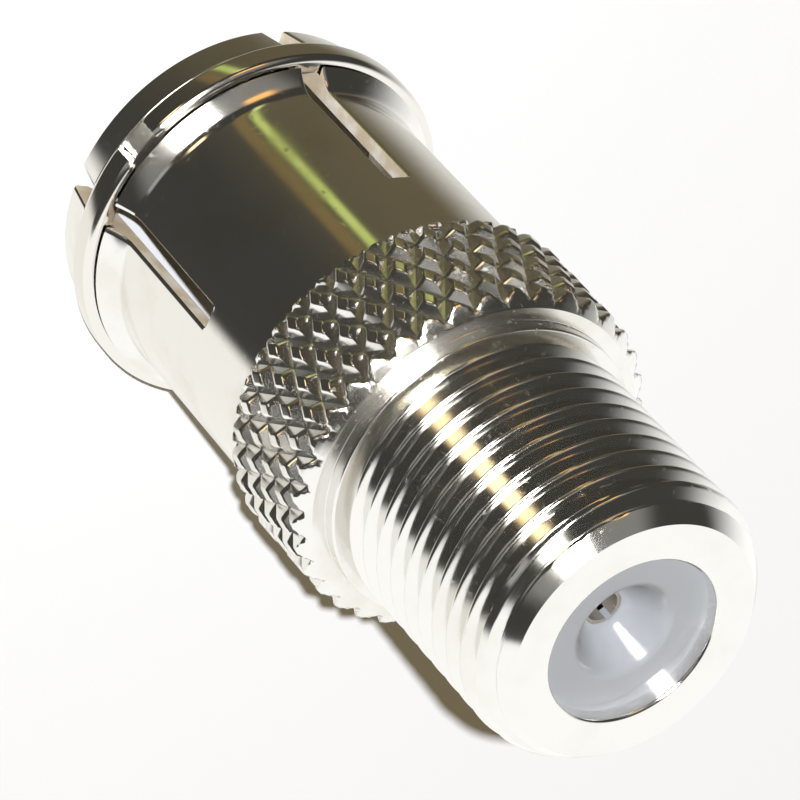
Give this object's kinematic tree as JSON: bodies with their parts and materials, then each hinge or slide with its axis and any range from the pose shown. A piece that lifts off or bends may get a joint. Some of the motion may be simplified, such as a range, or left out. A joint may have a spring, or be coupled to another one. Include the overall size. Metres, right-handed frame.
{
  "type": "quick push-on coaxial f adapter",
  "caption": "Knurled nickel-plated coaxial adapter: slotted push-on sleeve with a clamp ring at one end, threaded jack with a grey insulator at the other.",
  "frame": {"origin": "centre of the mouth of the push-on sleeve, on the surface that the adapter stands on", "axes": "+Z along the adapter's axis, from the push-on sleeve to the threaded jack; +X towards the front, between two of the sleeve's slots"},
  "size_m": [0.012, 0.012, 0.0242],
  "materials": {
    "nickel_body": "bright nickel plate on turned brass",
    "nickel_ring": "bright nickel plate on spring wire",
    "grey_plastic": "moulded blue-grey plastic, slightly glossy",
    "white_plastic": "moulded off-white plastic",
    "contact_brass": "turned brass"
  },
  "bodies": {
    "root": {"body": "nickel_body", "clamp_ring": "nickel_ring", "front_insulator": "grey_plastic", "rear_insulator": "white_plastic", "contact": "contact_brass"}
  },
  "joints": []
}
